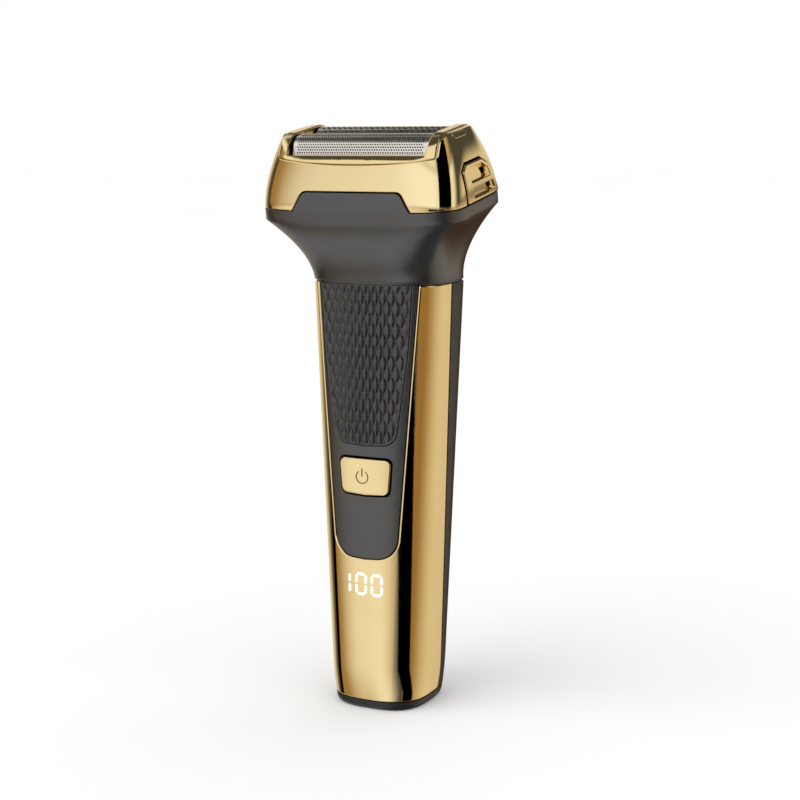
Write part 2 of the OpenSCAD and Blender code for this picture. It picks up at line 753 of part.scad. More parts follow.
front_shell();
rear_shell();
control_panel();
grip_pad();
display_digits();
led_display();
circuit_board();
tact_switch();
battery_cell();
battery_tabs();
chassis();
motor_can();
motor_screws();
charge_socket();
base_cap();
top_plate();
top_plate_screws();
shaft_seal();
motor_shaft();
crank_disc();
crank_pin();
power_button();
head_neck();
socket_plate();
head_deck();
deck_screws();
guide_rods();
oscillator_yoke();
front_spring();
rear_spring();
front_cutter_carrier();
front_cutter_blades();
rear_cutter_carrier();
rear_cutter_blades();
head_shroud();
foil_frame();
centre_bar();
front_foil();
front_foil_saddles();
rear_foil();
rear_foil_saddles();
release_left();
release_right();
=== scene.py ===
"""Looks of the cordless foil shaver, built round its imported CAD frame.

Lengths are in millimetres, +Z up, -Y towards the user, until piece() turns them into metres.
A skin is a function of (arc, height) points and an offset h that gives points of a surface.
"""

import json
import math

import bmesh
import bpy
import numpy as np
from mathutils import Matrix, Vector, geometry, kdtree

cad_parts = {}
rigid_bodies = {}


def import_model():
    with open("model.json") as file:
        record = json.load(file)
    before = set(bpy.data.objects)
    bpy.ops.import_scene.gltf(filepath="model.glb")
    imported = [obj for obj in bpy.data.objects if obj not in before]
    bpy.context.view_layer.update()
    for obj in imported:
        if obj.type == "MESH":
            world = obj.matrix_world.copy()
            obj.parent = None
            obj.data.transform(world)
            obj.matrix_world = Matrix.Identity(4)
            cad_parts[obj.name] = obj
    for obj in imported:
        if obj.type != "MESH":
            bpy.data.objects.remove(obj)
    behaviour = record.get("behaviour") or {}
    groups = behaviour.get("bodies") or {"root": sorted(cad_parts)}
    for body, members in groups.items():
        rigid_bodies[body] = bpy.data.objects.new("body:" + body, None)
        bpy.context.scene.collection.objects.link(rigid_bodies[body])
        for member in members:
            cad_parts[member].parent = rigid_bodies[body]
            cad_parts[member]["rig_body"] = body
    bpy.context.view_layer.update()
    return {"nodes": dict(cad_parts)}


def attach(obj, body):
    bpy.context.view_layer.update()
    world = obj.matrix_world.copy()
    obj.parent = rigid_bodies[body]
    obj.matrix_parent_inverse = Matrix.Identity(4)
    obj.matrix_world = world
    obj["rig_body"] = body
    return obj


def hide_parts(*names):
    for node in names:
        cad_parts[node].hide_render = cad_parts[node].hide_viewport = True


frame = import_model()

MM = 0.001
TAU = 2 * math.pi

# ---------- driving sizes, as in the CAD source ----------

HANDLE_H = 118.7
HANDLE_TOP = 118.5
HANDLE_R = 16.5
CAP_H = 2.6
FOOT_H = 12
FOOT_DRAW = 0.7
FOOT_HALF_W = 14
FOOT_HALF_D = 15
WAIST_HALF_W = 19.4
WAIST_HALF_D = 15.5
SHELL_WALL = 1.7
SEAM_GAP = 0.15
PANEL_Z = 43
PAD_Z = 74.7
BUTTON_LOW = 61
BUTTON_TOP = 71.1
DIGITS_Z = 35.9
DIGIT_H = 6.3
DIGIT_W = 3.6
SEGMENT_W = 0.66
SEGMENT_GAP = 0.45
DIGIT_X = {"1": (-4.9,), "0": (-1.35, 3.45)}
SOCKET_Y = -5.6
INLET_HALF_W = 4.8
INLET_R = 1.9

HEAD_Y = -4.9
HEAD_Z = 141.1
HEAD_LEAN = math.radians(9.5)
HEAD_R = 24
HEAD_WALL = 1.4
HEAD_HALF_W = 29.3
HEAD_HALF_D = 19
NECK_Z = 119.0
NECK_WALL = 1.8
RIM_H = 3.3
TAB_H = 4.8
CASSETTE_H = 18.85
ARCH_Y = 5.6
ARCH_R = 9.15
LIP_TOP = 13.9
WELL_X = 20.4
WELL_Y = 11.35
BAND_X = 23.2
SHROUD_X = BAND_X + 0.1
FOIL_R = 5
FOIL_T = 0.15
FOIL_Y = 6
FOIL_Z = 13.3
FOIL_SKIRT_Z = 8.5
FOIL_HALF_L = 19.8
FOIL_PLAIN = 1.2

# ---------- curves and outlines ----------


def mix(a, b, t):
    return a + (b - a) * t


def unit(v):
    return v / np.linalg.norm(v, axis=-1, keepdims=True)


def oval_point(theta, a, b, n):
    """A point of a superellipse, by its direction from the front, -Y, turning towards +X."""
    s, c = np.sin(theta), np.cos(theta)
    r = ((np.abs(s) / a) ** n + (np.abs(c) / b) ** n) ** (-1 / n)
    return r * s, -r * c


def rounded(points, radii, steps=8):
    """The points with each corner rounded to its radius; 0 leaves a corner sharp."""
    out = []
    for i, (p, r) in enumerate(zip(points, radii)):
        p = np.array(p, float)
        if r == 0:
            out.append(p)
            continue
        u = unit(np.array(points[i - 1], float) - p)
        v = unit(np.array(points[(i + 1) % len(points)], float) - p)
        half = math.acos(u @ v) / 2
        centre = p + unit(u + v) * r / math.sin(half)
        first = p + u * r / math.tan(half) - centre
        last = p + v * r / math.tan(half) - centre
        a = math.atan2(first[1], first[0])
        turn = math.remainder(math.atan2(last[1], last[0]) - a, TAU)
        for k in range(steps + 1):
            b = a + turn * k / steps
            out.append(centre + r * np.array([math.cos(b), math.sin(b)]))
    return np.array(out)


def both_sides(half):
    """A closed outline from its right half, which starts and ends on the middle line."""
    return np.vstack([half, half[-2:0:-1] * [-1, 1]])


def subdivided(loop, step, closed=True):
    """The same outline with no edge longer than step."""
    out = []
    ends = np.roll(loop, -1, 0) if closed else loop[1:]
    for p, q in zip(loop, ends):
        n = max(1, math.ceil(np.linalg.norm(q - p) / step))
        out.extend(mix(p, q, k / n) for k in range(n))
    if not closed:
        out.append(loop[-1])
    return np.array(out)


def wrapped(d, period):
    """Differences brought to the shorter way round a skin that closes on itself."""
    if period:
        d = d.copy()
        d[:, 0] = (d[:, 0] + period / 2) % period - period / 2
    return d


def moved_in(loop, d, period):
    """The outline moved to its left by d, with mitred corners."""
    if d == 0:
        return loop
    before = unit(wrapped(loop - np.roll(loop, 1, 0), period))
    after = unit(wrapped(np.roll(loop, -1, 0) - loop, period))
    n1 = np.stack([-before[:, 1], before[:, 0]], 1)
    n2 = np.stack([-after[:, 1], after[:, 0]], 1)
    m = unit(n1 + n2)
    return loop + m * d / np.maximum((m * n1).sum(1, keepdims=True), 0.5)


def turned(loop, way):
    """The loop run anticlockwise (way 1) or clockwise (way -1)."""
    x, y = loop.T
    area = (x * np.roll(y, -1) - y * np.roll(x, -1)).sum()
    return loop if area * way > 0 else loop[::-1]


def inside(points, loop):
    """Which points lie inside the loop."""
    x, y = points.T
    hit = np.zeros(len(points), bool)
    for (x0, y0), (x1, y1) in zip(loop, np.roll(loop, -1, 0)):
        if y0 != y1:
            hit ^= ((y0 > y) != (y1 > y)) & (x < (x1 - x0) * (y - y0) / (y1 - y0) + x0)
    return hit


# ---------- plates that follow a skin ----------


def to_plane(uv, period):
    """A skin that closes on itself is laid out as a ring, without changing its angles."""
    if not period:
        return uv, np.ones(len(uv))
    radius = period / TAU
    shrink = np.exp(-uv[:, 1] / radius)
    a = uv[:, 0] / radius
    return radius * shrink[:, None] * np.stack([np.cos(a), np.sin(a)], 1), shrink


def filled(loops, spacing, period):
    """Points inside the first loop and outside the others, and triangles over all of them."""
    flat = [to_plane(loop, period)[0] for loop in loops]
    rim = np.vstack(flat)
    low, high = np.vstack(loops).min(0), np.vstack(loops).max(0)
    rows = np.arange(low[1] + spacing / 2, high[1], spacing * 0.87)
    cols = np.arange(low[0] - spacing, high[0] + spacing, spacing)
    grid = np.array([[u + spacing / 2 * (k % 2), v] for k, v in enumerate(rows) for u in cols])
    if period:
        grid = grid[(grid[:, 0] >= low[0]) & (grid[:, 0] < low[0] + period - spacing / 2)]
    where, scale = to_plane(grid, period)
    keep = inside(where, flat[0])
    for hole in flat[1:]:
        keep &= ~inside(where, hole)
    grid, where, scale = grid[keep], where[keep], scale[keep]
    tree = kdtree.KDTree(len(rim))
    for i, p in enumerate(rim):
        tree.insert((p[0], p[1], 0), i)
    tree.balance()
    gap = np.array([tree.find((p[0], p[1], 0))[2] for p in where]) / scale
    keep = gap > 0.6 * spacing
    grid, where, gap = grid[keep], where[keep], gap[keep]
    edges = []
    start = 0
    for loop in flat:
        n = len(loop)
        edges += [(start + i, start + (i + 1) % n) for i in range(n)]
        start += n
    points = np.vstack([rim, where])
    made = geometry.delaunay_2d_cdt([Vector(p) for p in points], edges, [], 0, 1e-9)
    crossed = [tuple(v) for v, o in zip(made[0], made[3]) if not o]
    if crossed:
        raise ValueError(f"an outline crosses itself or another at {crossed[:4]}")
    back = [o[0] for o in made[3]]
    tri = np.array([[back[i] for i in f] for f in made[2]])
    centre = points[tri].mean(1)
    keep = inside(centre, flat[0])
    for hole in flat[1:]:
        keep &= ~inside(centre, hole)
    return grid, gap, tri[keep]


def round_edge(r, depth, steps=4):
    """(distance in from the outline, height) over a rounded edge and down its wall."""
    turns = [math.pi / 2 * k / steps for k in range(steps + 1)]
    curve = [(r * (1 - math.sin(a)), r * (math.cos(a) - 1)) for a in turns]
    return [(r * 1.2, 0)] + curve + [(0, -depth)]


def plate(skin, outline, holes=(), edge=(), hole_edge=None, spacing=1.0, lift=0, relief=None,
          period=None, sink=None, open_rim=False):
    """A closed plate on a skin: a face, rounded edges, walls and a back."""
    if not period:
        outline = turned(outline, 1)
    loops = [outline] + [h if period else turned(h, -1) for h in holes]
    profiles = [edge] + [hole_edge or edge] * len(holes)
    depth = edge[-1][1]
    faces = []
    verts = []
    count = 0
    starts, backs = [], []

    def add(points):
        nonlocal count
        verts.append(points)
        count += len(points)
        return count - len(points)

    inner = []
    for k, (loop, profile) in enumerate(zip(loops, profiles)):
        n = len(loop)
        ring = [moved_in(loop, d, period) for d, _ in profile]
        inner.append(ring[0])
        firsts = [add(skin(r, lift + h)) for r, (_, h) in zip(ring, profile)]
        if k and sink:
            for move in sink:
                firsts.append(add(move(verts[-1])))
        starts.append(firsts[0])
        backs.append(firsts[-1])
        if k == 0 and open_rim:
            continue
        for a, b in zip(firsts, firsts[1:]):
            faces += [(a + i, b + i, b + (i + 1) % n, a + (i + 1) % n) for i in range(n)]
    grid, gap, tri = filled(inner, spacing, period)
    height = relief(grid, gap) if relief else 0
    front = add(skin(grid, lift + height))
    behind = add(skin(grid, lift + depth))
    on_face, on_back = [], []
    for loop, s, b in zip(inner, starts, backs):
        on_face += range(s, s + len(loop))
        on_back += range(b, b + len(loop))
    on_face += range(front, front + len(grid))
    on_back += range(behind, behind + len(grid))
    faces += [tuple(on_face[i] for i in t) for t in tri]
    faces += [tuple(on_back[i] for i in reversed(t)) for t in tri]
    return np.vstack(verts), faces


def rings_mesh(rings):
    """A tube through rings of equally many points."""
    n = len(rings[0])
    faces = []
    for k in range(len(rings) - 1):
        a, b = k * n, (k + 1) * n
        faces += [(a + i, a + (i + 1) % n, b + (i + 1) % n, b + i) for i in range(n)]
    return np.vstack(rings), faces


def piece(name, nodes, material, parts, place=None, sharp=42, weld=False):
    """One Blender piece from (points, faces) parts. It stands for CAD nodes and rides with them."""
    verts, faces, start = [], [], 0
    for points, polygons in parts:
        verts.append(points)
        faces += [tuple(int(i) + start for i in f) for f in polygons]
        start += len(points)
    verts = np.vstack(verts)
    if place is not None:
        verts = verts @ place[0].T + place[1]
    mesh = bpy.data.meshes.new(name)
    mesh.from_pydata((verts * MM).tolist(), [], faces)
    if weld:
        bm = bmesh.new()
        bm.from_mesh(mesh)
        bmesh.ops.remove_doubles(bm, verts=bm.verts, dist=2e-6)
        bm.to_mesh(mesh)
        bm.free()
    mesh.validate()
    mesh.polygons.foreach_set("use_smooth", [True] * len(mesh.polygons))
    mesh.set_sharp_from_angle(angle=math.radians(sharp))
    mesh.materials.append(material)
    obj = bpy.data.objects.new(name, mesh)
    bpy.context.scene.collection.objects.link(obj)
    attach(obj, frame["nodes"][nodes[0]]["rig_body"])
    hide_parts(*nodes)
    return obj


# ---------- skins ----------


def handle_oval(z, h=0):
    """Half width, half depth and squareness of the handle at height z, moved out by h."""
    t = z / HANDLE_H
    d = np.where(z < FOOT_H, FOOT_DRAW * (1 - z / FOOT_H) ** 2, 0) - h
    half_w = mix(FOOT_HALF_W, WAIST_HALF_W, t) - d
    half_d = mix(FOOT_HALF_D, WAIST_HALF_D, t) - d
    return half_w, half_d, mix(2.9, 3.3, t)


def handle_skin(uv, h):
    z = uv[:, 1]
    x, y = oval_point(uv[:, 0] / HANDLE_R, *handle_oval(z, h))
    return np.stack([x, y, z + 0 * x], 1)


def rear_skin(uv, h):
    return handle_skin(uv + [math.pi * HANDLE_R, 0], h)


def head_oval(z, h=0):
    """The same for the head, over its height above the rim's top."""
    t = np.maximum(z, 0) / 20.7
    return HEAD_HALF_W - 5.4 * t**1.94 + h, HEAD_HALF_D - 7.6 * t**1.41 + h, 5.5 - 1.5 * t


def head_skin(uv, h):
    z = uv[:, 1]
    x, y = oval_point(uv[:, 0] / HEAD_R, *head_oval(z, h))
    return np.stack([x, y, z], 1)


def on_front(oval, radius, path):
    """Front-view (x, z) points laid on the near side of a skin."""
    x, z = path.T
    a, b, n = oval(z)
    y = b * np.maximum(1 - (np.abs(x) / a) ** n, 0) ** (1 / n)
    return np.stack([radius * np.arctan2(x, y), z], 1)


def on_side(oval, radius, path):
    """Side-view (y, z) points laid on the right-hand side of a skin."""
    y, z = path.T
    a, b, n = oval(z)
    x = a * np.maximum(1 - (np.abs(y) / b) ** n, 0) ** (1 / n)
    return np.stack([radius * np.arctan2(x, -y), z], 1)


def head_place():
    """The head's lean and place, as a turn and a shift."""
    c, s = math.cos(HEAD_LEAN), math.sin(HEAD_LEAN)
    return np.array([[1, 0, 0], [0, c, -s], [0, s, c]]), np.array([0, HEAD_Y, HEAD_Z])


# ---------- materials ----------


def principled(name, **sockets):
    material = bpy.data.materials.new(name)
    material.use_nodes = True
    shader = material.node_tree.nodes["Principled BSDF"]
    for socket, value in sockets.items():
        shader.inputs[socket.replace("_", " ")].default_value = value
    return material, shader


def noise(material, scale, detail=3.0, stretch=(1, 1, 1)):
    nodes, links = material.node_tree.nodes, material.node_tree.links
    where = nodes.new("ShaderNodeTexCoord")
    turn = nodes.new("ShaderNodeMapping")
    turn.inputs["Scale"].default_value = stretch
    texture = nodes.new("ShaderNodeTexNoise")
    texture.inputs["Scale"].default_value = scale
    texture.inputs["Detail"].default_value = detail
    links.new(where.outputs["Object"], turn.inputs["Vector"])
    links.new(turn.outputs["Vector"], texture.inputs["Vector"])
    return texture


def tinted(material, shader, dark, light, scale, stretch=(1, 1, 1)):
    """Slow variation of the base colour between two tones."""
    nodes, links = material.node_tree.nodes, material.node_tree.links
    ramp = nodes.new("ShaderNodeValToRGB")
    ramp.color_ramp.elements[0].position = 0.3
    ramp.color_ramp.elements[1].position = 0.7
    ramp.color_ramp.elements[0].color = (*dark, 1)
    ramp.color_ramp.elements[1].color = (*light, 1)
    links.new(noise(material, scale, stretch=stretch).outputs["Fac"], ramp.inputs["Fac"])
    links.new(ramp.outputs["Color"], shader.inputs["Base Color"])


def worn(material, shader, low, high, scale, stretch=(1, 1, 1)):
    """Roughness that wanders between low and high."""
    nodes, links = material.node_tree.nodes, material.node_tree.links
    spread = nodes.new("ShaderNodeMapRange")
    spread.inputs["From Min"].default_value = 0.3
    spread.inputs["From Max"].default_value = 0.7
    spread.inputs["To Min"].default_value = low
    spread.inputs["To Max"].default_value = high
    links.new(noise(material, scale, stretch=stretch).outputs["Fac"], spread.inputs["Value"])
    links.new(spread.outputs["Result"], shader.inputs["Roughness"])


def grained(material, shader, scale, height, strength=1.0, stretch=(1, 1, 1)):
    """Fine bump; height is in millimetres."""
    nodes, links = material.node_tree.nodes, material.node_tree.links
    bump = nodes.new("ShaderNodeBump")
    bump.inputs["Strength"].default_value = strength
    bump.inputs["Distance"].default_value = height * MM
    links.new(noise(material, scale, detail=2.0, stretch=stretch).outputs["Fac"], bump.inputs["Height"])
    links.new(bump.outputs["Normal"], shader.inputs["Normal"])


def metal(name, dark, light, rough, grain_height=0.0004, scale=90, grain=900, stretch=(1, 1, 1)):
    material, shader = principled(name, Metallic=1.0)
    tinted(material, shader, dark, light, scale, stretch)
    worn(material, shader, rough[0], rough[1], scale * 3, stretch)
    grained(material, shader, grain, grain_height, stretch=stretch)
    return material


def plastic(name, dark, light, rough, ior=1.5, grain_height=0.006, grain=2600, scale=60):
    material, shader = principled(name, Metallic=0.0, IOR=ior)
    tinted(material, shader, dark, light, scale)
    worn(material, shader, rough[0], rough[1], scale * 4)
    grained(material, shader, grain, grain_height)
    return material


def glowing(name, colour, strength):
    material, shader = principled(name, Roughness=0.4, Emission_Color=(*colour, 1))
    shader.inputs["Emission Strength"].default_value = strength
    tinted(material, shader, (0.9, 0.88, 0.82), (1.0, 0.98, 0.94), 800)
    return material


def grey(level):
    return (level, level * 1.01, level * 1.04)


GOLD = metal("gold", (0.84, 0.67, 0.34), (0.88, 0.7, 0.37), (0.04, 0.07))
# A darker copy of the gold: painted shade for the floor of the power symbol's recess.
PAINTED_SHADE_GOLD = metal("painted_shade_gold", (0.3, 0.17, 0.07), (0.36, 0.21, 0.09), (0.3, 0.4))
GREY = plastic("satin_grey", grey(0.014), grey(0.018), (0.28, 0.34), ior=1.9)
DARK_GREY = plastic("dark_grey", grey(0.01), grey(0.014), (0.38, 0.46), ior=1.5)
GRIP = plastic("rubber_grip", grey(0.01), grey(0.016), (0.34, 0.44), ior=1.8, grain_height=0.1, grain=2000)
GLOW = glowing("lit_digits", (1.0, 0.92, 0.78), 0.96)
WHITE = plastic("white_acetal", (0.62, 0.62, 0.6), (0.7, 0.7, 0.68), (0.3, 0.4))
INNER = plastic("inner_plastic", grey(0.016), grey(0.024), (0.4, 0.5))
BOARD = plastic("circuit_board", (0.01, 0.07, 0.03), (0.02, 0.1, 0.045), (0.35, 0.45), scale=300)
CELL = plastic("cell_sleeve", (0.02, 0.07, 0.2), (0.03, 0.09, 0.25), (0.25, 0.32))
SEAL = plastic("rubber_seal", grey(0.014), grey(0.02), (0.55, 0.65))
STEEL = metal("plated_steel", (0.56, 0.52, 0.46), (0.66, 0.61, 0.54), (0.2, 0.3))
BLADE = metal("blade_steel", (0.56, 0.52, 0.47), (0.66, 0.61, 0.56), (0.12, 0.2), stretch=(6, 1, 1))
FOIL = metal("foil_steel", (0.7, 0.66, 0.6), (0.8, 0.75, 0.68), (0.12, 0.2), stretch=(0.3, 2, 2))

# ---------- handle ----------


def panel_half(grow):
    """The control panel's right half, from its bottom to the top of the handle."""
    top_x = mix(9.25, 15.3, (HANDLE_TOP - PANEL_Z) / 75.8) + grow
    points = [(0, PANEL_Z - grow), (9.25 + grow, PANEL_Z + 0.6 - grow), (top_x, HANDLE_TOP)]
    return rounded(points, [0, 6.2, 0], steps=14)


def pad_half(grow):
    """The grip pad's right half."""
    points = [(0, PAD_Z - grow), (9 + grow, PAD_Z + 0.5 - grow),
              (12.4 + grow, 100), (13.58 + grow, HANDLE_TOP)]
    return rounded(points, [0, 4.4, 40, 0], steps=12)


def button_loop(grow):
    """The power button's outline, a little wider at its top."""
    points = [(0, BUTTON_LOW - grow), (7.05 + grow, BUTTON_LOW + 0.4 - grow),
              (7.9 + grow, BUTTON_TOP + grow), (0, BUTTON_TOP + grow)]
    return both_sides(rounded(points, [0, 1.8, 1.8, 0], steps=10))


def on_handle(path, step=0.8):
    return on_front(handle_oval, HANDLE_R, subdivided(path, step))


def seam_arc(z, shift=0.0):
    """How far round the handle the seam between the shells lies, at heights z."""
    y = mix(4.2, -1, z / HANDLE_H) + shift
    return on_side(handle_oval, HANDLE_R, np.stack([y, z], 1))[:, 0]


def segment_loop(x, z, upright, length, grow):
    """One segment of a digit, pointed at both ends."""
    h, e = SEGMENT_W / 2 + grow, length / 2 + grow
    bar = rounded([(-e, 0), (-e + h, h), (e - h, h), (e, 0), (e - h, -h), (-e + h, -h)],
                  [0.12, 0.3, 0.3, 0.12, 0.3, 0.3], steps=3)
    if upright:
        bar = bar[:, ::-1] * [-1, 1]
    return bar + [x, z]


def segments(grow):
    """The segments of the 1, which has only two, and of both 0s."""
    half_w, half_h = DIGIT_W / 2 - SEGMENT_W / 2, DIGIT_H / 2 - SEGMENT_W / 2
    tall = half_h - SEGMENT_GAP
    loops = []
    for side in (-1, 1):
        for x in DIGIT_X["1"]:
            loops.append(segment_loop(x, DIGITS_Z + side * half_h / 2, True, tall, grow))
        for x in DIGIT_X["0"]:
            loops.append(segment_loop(x, DIGITS_Z + side * half_h, False, 2 * half_w - SEGMENT_GAP, grow))
            for level in (-1, 1):
                z = DIGITS_Z + level * half_h / 2
                loops.append(segment_loop(x + half_w * side, z, True, tall, grow))
    return [on_handle(loop, 0.4) for loop in loops]


def front_shell():
    seam_z = np.linspace(CAP_H, HANDLE_TOP, 90)
    seam = np.stack([seam_arc(seam_z), seam_z], 1)
    bottom = np.stack([np.linspace(0, seam[0, 0], 30)[:-1], np.full(29, CAP_H)], 1)
    notch = on_front(handle_oval, HANDLE_R, subdivided(panel_half(0), 0.8, closed=False))[::-1]
    top = np.stack([np.linspace(seam[-1, 0], notch[0, 0], 10)[1:-1], np.full(8, HANDLE_TOP)], 1)
    outline = both_sides(np.vstack([bottom, seam, top, notch]))
    body = plate(handle_skin, outline, segments(0.05), round_edge(0.42, SHELL_WALL),
                 round_edge(0.05, SHELL_WALL, 2), spacing=0.9)
    return piece("front_shell_skin", ["front_shell"], GOLD, [body])


def rear_shell():
    z = np.linspace(CAP_H, HANDLE_TOP, 90)
    seam = np.stack([math.pi * HANDLE_R - seam_arc(z, SEAM_GAP), z], 1)
    bottom = np.stack([np.linspace(0, seam[0, 0], 30)[:-1], np.full(29, CAP_H)], 1)
    top = np.stack([np.linspace(seam[-1, 0], 0, 30)[1:], np.full(29, HANDLE_TOP)], 1)
    body = plate(rear_skin, both_sides(np.vstack([bottom, seam, top])), edge=round_edge(0.35, SHELL_WALL))
    return piece("rear_shell_skin", ["rear_shell"], DARK_GREY, [body])


BUTTON_GAP = 0.45


def control_panel():
    """The panel runs up both sides of the grip pad, which lies in a notch of its outline."""
    half = np.vstack([panel_half(-0.15), pad_half(0.12)[::-1]])
    body = plate(handle_skin, on_handle(both_sides(half)), [on_handle(button_loop(BUTTON_GAP), 0.5)],
                 round_edge(0.22, SHELL_WALL), round_edge(0.3, 2.6), spacing=0.9, lift=-0.15)
    return piece("control_panel_skin", ["control_panel"], GREY, [body])


SCALE_W = 2.3
SCALE_ROW = 2.95
SCALE_LIFT = 0.55


def scales(uv, gap):
    """Staggered pointed scales: each is nearly flat from its left edge on and rolls off on the right."""
    height = np.zeros(len(uv))
    first = np.floor(uv[:, 1] / SCALE_ROW)
    for step in (0, 1):
        row = first + step
        v = np.abs(uv[:, 1] / SCALE_ROW - row)
        share = np.clip((0.82 - v) / 0.64, 0, 1)
        half = SCALE_W / 2 * share
        u = (uv[:, 0] - (row % 2 - 1) * SCALE_W / 2) % SCALE_W - SCALE_W / 2
        s = np.clip((u + half) / np.maximum(2 * half, 1e-6), 0, 1)
        face = (0.65 + 0.5 * s) * np.minimum(s / 0.08, 1)
        roll = 0.5 + 0.5 * np.cos(np.clip((s - 0.52) / 0.48, 0, 1) * math.pi)
        height = np.maximum(height, np.where(np.abs(u) < half, SCALE_LIFT * face * roll * share**0.6, 0))
    return (height - SCALE_LIFT * 0.85) * np.clip(gap / 0.5, 0, 1)


def grip_pad():
    half = np.vstack([pad_half(0), [[0, HANDLE_TOP]]])
    body = plate(handle_skin, on_handle(both_sides(half), 0.5), edge=round_edge(0.15, 1.2),
                 spacing=0.21, lift=-0.05, relief=scales)
    return piece("grip_pad_skin", ["grip_pad"], GRIP, [body], sharp=60)


def display_digits():
    parts = [plate(handle_skin, loop, edge=round_edge(0.08, 1.6, 2), spacing=0.4, lift=0.015)
             for loop in segments(0)]
    return piece("lit_digits", ["display_digits"], GLOW, parts)


ICON_X = -0.7
ICON_Z = 66
ICON_R = 1.75
ICON_W = 0.28
ICON_BAR = (0.1, 2.45)
ICON_ENDS = (128, 412)
ICON_ROUND = 0.1
ICON_FLOOR = [(-3.4, 63), (2.4, 63), (2.4, 69), (-3.4, 69)]


def towards(angle):
    return np.array([math.cos(angle), math.sin(angle)])


def icon_loops():
    """The power symbol's open ring and bar, as slots with round ends."""
    h = ICON_W / 2
    turns = np.radians(np.linspace(*ICON_ENDS, 34))
    ends = np.radians(np.linspace(0, 180, 7))[1:-1]
    ring = [towards(a) * (ICON_R + h) for a in turns]
    ring += [towards(turns[-1] + math.sin(e) * ICON_ROUND) * (ICON_R + h * math.cos(e)) for e in ends]
    ring += [towards(a) * (ICON_R - h) for a in turns[::-1]]
    ring += [towards(turns[0] - math.sin(e) * ICON_ROUND) * (ICON_R - h * math.cos(e)) for e in ends]
    low, high = ICON_BAR
    bar = rounded([(-h, low), (h, low), (h, high), (-h, high)], [h * 0.95] * 4, steps=4)
    return [np.array(ring) + [ICON_X, ICON_Z], bar + [ICON_X, ICON_Z]]


def power_button():
    """The cap, with the symbol cut through it, and under the symbol a floor in a darker copy of the gold,
    painted shade for the recess.
    """
    face = plate(handle_skin, on_handle(button_loop(0), 0.5), [on_handle(l, 0.4) for l in icon_loops()],
                 round_edge(0.4, 2.4), round_edge(0.06, 0.18, 2), spacing=0.6, lift=0.25)
    button = piece("power_button_cap", ["power_button"], GOLD, [face])
    # The floor seen through the symbol is painted darker gold, as painted shade in the recess.
    under = on_handle(rounded(ICON_FLOOR, [0.5] * 4))
    floor = plate(handle_skin, under, edge=round_edge(0.1, 0.6), lift=0.1)
    symbol = piece("power_symbol_shade_floor", ["power_button"], PAINTED_SHADE_GOLD, [floor])
    return button, symbol


def base_cap():
    """A rounded foot ring with the charging inlet's opening in its underside."""
    theta = np.linspace(0, TAU, 160, endpoint=False)

    def ring(z, inset):
        x, y = oval_point(theta, *handle_oval(np.full(len(theta), z), -inset))
        return np.stack([x, y, np.full(len(x), z)], 1)

    quarter = np.linspace(0, math.pi / 2, 7)[1:]
    levels = [(0.0, 1.0)]
    levels += [(1.5 * (1 - math.cos(a)), 1.0 * (1 - math.sin(a))) for a in quarter]
    levels += [(CAP_H - 0.35, 0), (CAP_H - 0.15, 0.08), (CAP_H - 0.1, 0.3), (CAP_H - 0.1, 1.8)]
    levels += [(6, 1.85), (6, 3)]
    wall = rings_mesh([ring(z, inset) for z, inset in levels])

    def underside(uv, h):
        return np.stack([uv[:, 0], -uv[:, 1], -h + 0 * uv[:, 0]], 1)

    half_w, r = INLET_HALF_W, INLET_R
    inlet = rounded([(-half_w, -SOCKET_Y - r), (half_w, -SOCKET_Y - r), (half_w, -SOCKET_Y + r),
                     (-half_w, -SOCKET_Y + r)], [r * 0.98] * 4, steps=8)
    foot = plate(underside, ring(0, 1)[:, :2] * [1, -1], [inlet], [(0, 0), (0, -1.2)],
                 round_edge(0.3, 3), spacing=1.2)
    return piece("base_cap_skin", ["base_cap"], DARK_GREY, [wall, foot], weld=True)


# ---------- neck and head ----------


def neck_ring(theta, u, inset):
    """The neck's outline a share u of the way from the waist to the rim."""
    rim_y = HEAD_Y + RIM_H * math.sin(HEAD_LEAN)
    rim_z = HEAD_Z - RIM_H * math.cos(HEAD_LEAN)
    front = mix(-WAIST_HALF_D, rim_y - HEAD_HALF_D, 0.6 * u * u * (3 - 2 * u) + 0.4 * u)
    back = mix(WAIST_HALF_D, HEAD_HALF_D, u**1.8) + rim_y * u**0.75
    half_w = mix(WAIST_HALF_W, HEAD_HALF_W, u**2)
    x, y = oval_point(theta, half_w - inset, (back - front) / 2 - inset, mix(3.3, 5.5, u**1.4))
    lean = HEAD_LEAN * u**1.8
    return np.stack([x, (front + back) / 2 + y * math.cos(lean),
                     mix(NECK_Z, rim_z, u) + y * math.sin(lean)], 1)


def tab_half(grow, foot_z):
    """Right half of the tab's outline, from its foot at height foot_z to the middle of its top."""
    foot_x = mix(17.1, 17.9, (0.3 - foot_z) / 1.8) + grow
    return rounded([(foot_x, foot_z), (14.2 + grow, TAB_H + grow), (0, TAB_H + grow)], [0, 2.2, 0])


def ring_loop(theta, z):
    return np.stack([HEAD_R * theta, np.full(len(theta), float(z))], 1)


# (inset, drop) of the dark collar that closes the gap between neck and handle
COLLAR = [(0.45, 0), (0.45, 0.42), (1.3, 0.42), (1.3, 0)]


